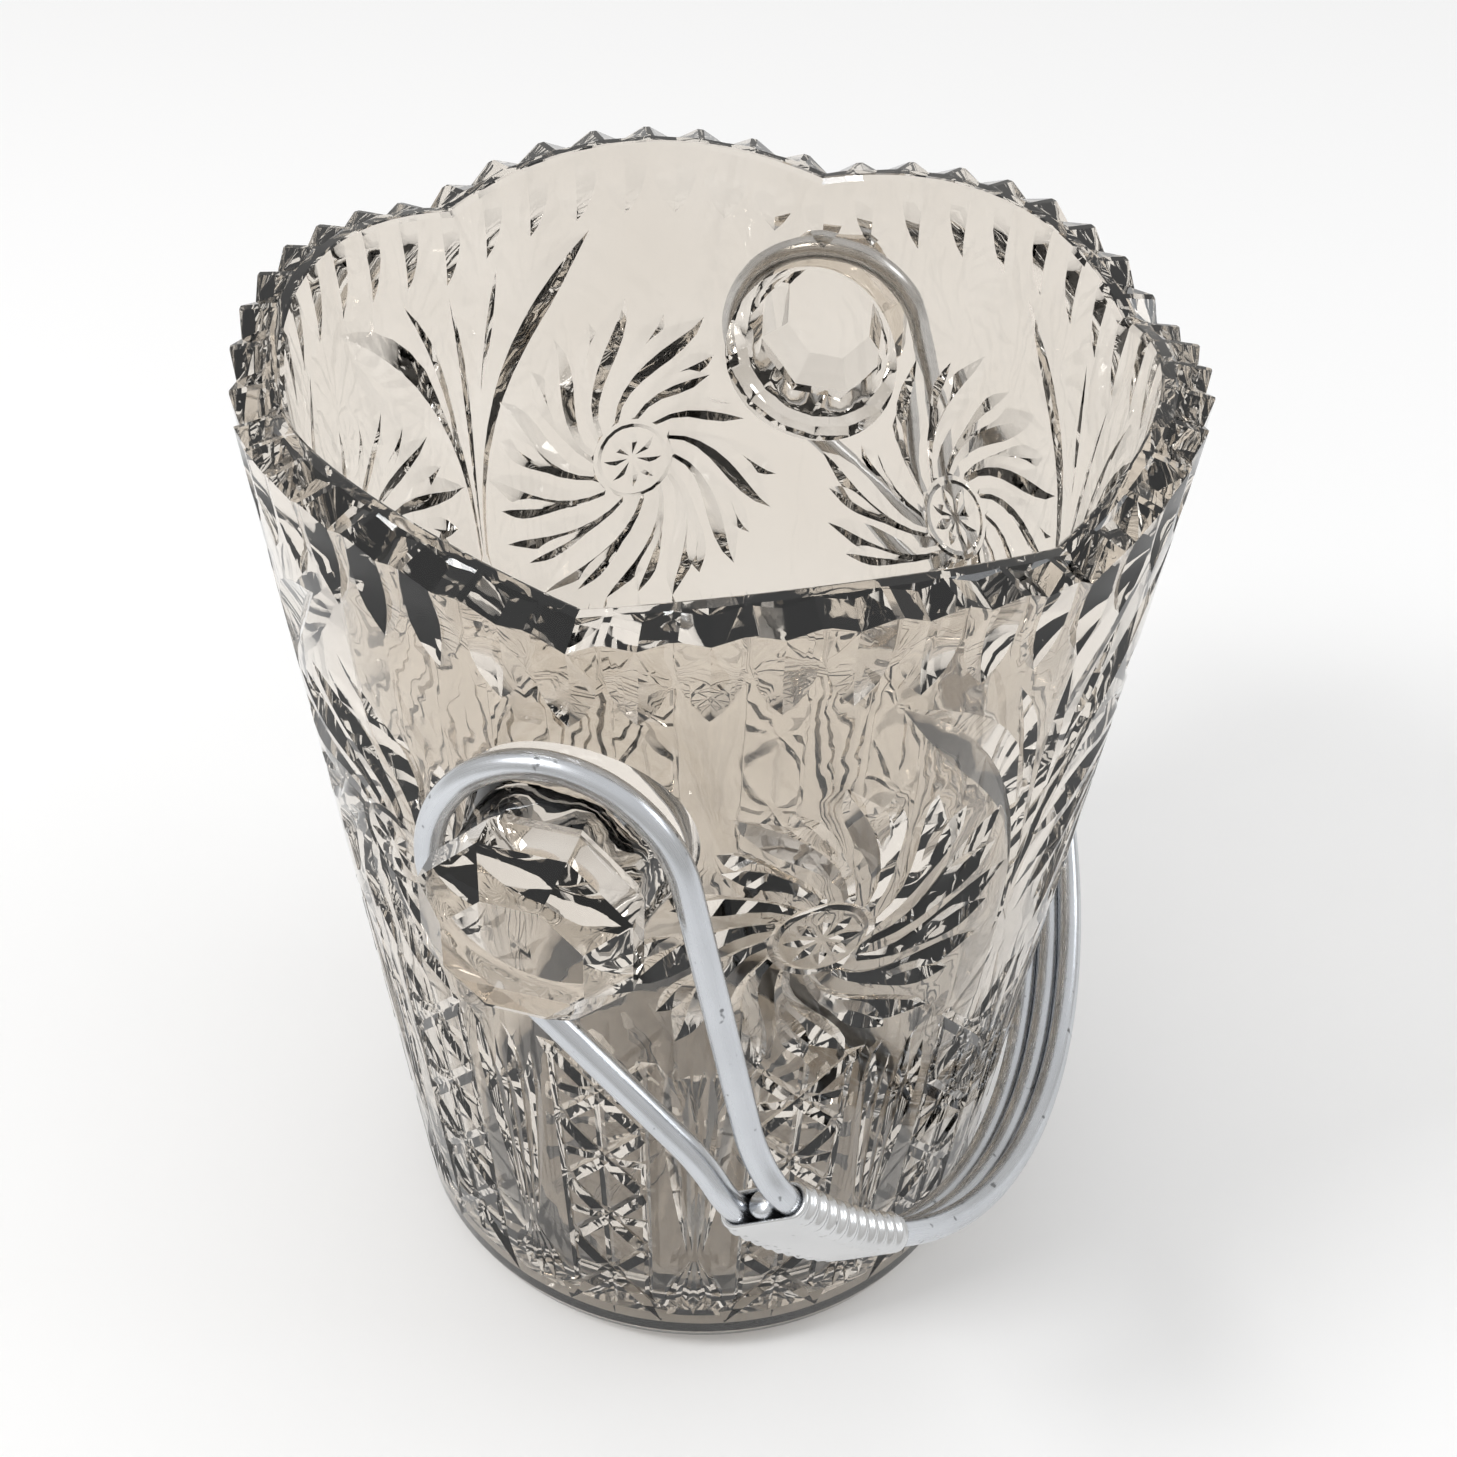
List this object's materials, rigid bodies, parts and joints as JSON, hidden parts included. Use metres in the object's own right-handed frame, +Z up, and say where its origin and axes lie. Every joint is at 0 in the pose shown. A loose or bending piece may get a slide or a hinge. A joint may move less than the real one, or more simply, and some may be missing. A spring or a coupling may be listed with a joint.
{
  "type": "ice bucket",
  "caption": "Open tapering bucket of cut glass with a scalloped saw-tooth rim, faceted side knobs and a swinging wire handle that hangs on the knobs.",
  "frame": {"origin": "centre of the base, on the surface the bucket stands on", "axes": "+Z up along the bucket's axis, X through the two knobs, and the resting handle lies on the -Y side"},
  "size_m": [0.188, 0.1456, 0.182],
  "materials": {
    "clear_glass": "clear pressed crystal with a faint warm tint",
    "handle_wire": "bright drawn aluminium with light wear",
    "ferrule_sheet": "bright pressed aluminium, ribbed on its edges"
  },
  "bodies": {
    "bucket": {"glass_bucket": "clear_glass"},
    "handle": {"outer_wire": "handle_wire", "centre_wire": "handle_wire", "ferrule_left": "ferrule_sheet", "ferrule_right": "ferrule_sheet"}
  },
  "joints": [
    {"name": "handle_swing", "type": "hinge", "parent": "bucket", "child": "handle", "pos_m": [0, 0, 0.141], "axis": [-1, 0, 0], "range_deg": [0, 294]}
  ]
}
